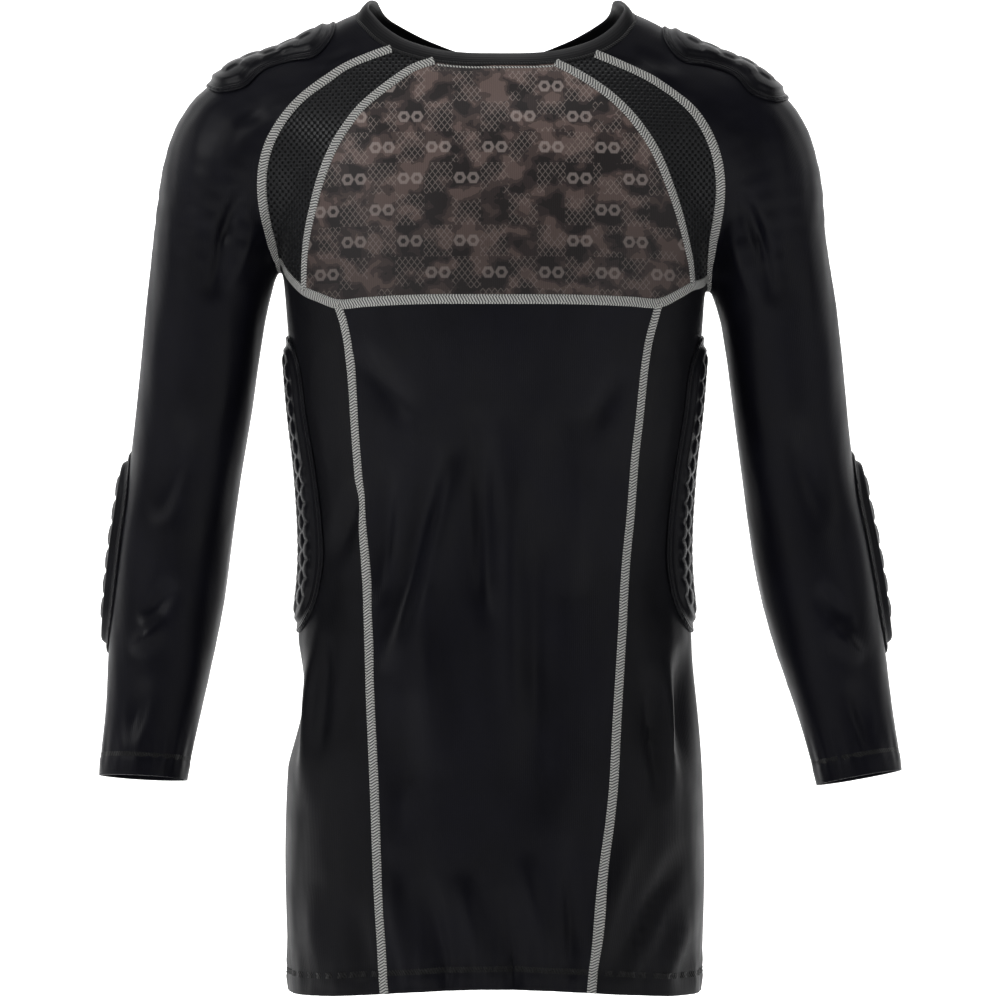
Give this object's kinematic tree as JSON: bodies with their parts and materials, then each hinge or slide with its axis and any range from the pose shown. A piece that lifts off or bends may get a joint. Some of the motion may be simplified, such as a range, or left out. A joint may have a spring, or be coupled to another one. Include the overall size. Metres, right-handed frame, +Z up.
{
  "type": "padded compression shirt",
  "caption": "Close-fitting pullover shirt filled out as worn: raglan sleeves, printed chest, net shoulder panels and hexagonal foam pads at shoulders, elbows and ribs.",
  "frame": {"origin": "between the wearer's shoulders, level with the tops of the shirt's shoulders beside the neck, where the shirt hangs from the wearer", "axes": "+Z up towards the neck, -Y out of the front of the chest, +X towards the wearer's left sleeve"},
  "size_m": [0.6012, 0.2293, 0.7423],
  "materials": {
    "jersey": "soft sheen knit",
    "side_jersey": "soft sheen knit",
    "printed_jersey": "matt printed knit",
    "net": "open warp-knit mesh",
    "neck_rib": "doubled knit band",
    "pad_cloth": "knit laminated over foam cells"
  },
  "bodies": {
    "root": {"chest_panel": "printed_jersey", "front_panel": "jersey", "back_panel": "jersey", "net_panel_right": "net", "net_panel_left": "net", "side_panel_right": "side_jersey", "side_panel_left": "side_jersey", "sleeve_right": "jersey", "sleeve_left": "jersey", "neckband": "neck_rib", "rib_pad_right": "pad_cloth", "rib_pad_left": "pad_cloth", "elbow_pad_right": "pad_cloth", "elbow_pad_left": "pad_cloth", "shoulder_pad_right": "pad_cloth", "shoulder_pad_left": "pad_cloth"}
  },
  "joints": []
}
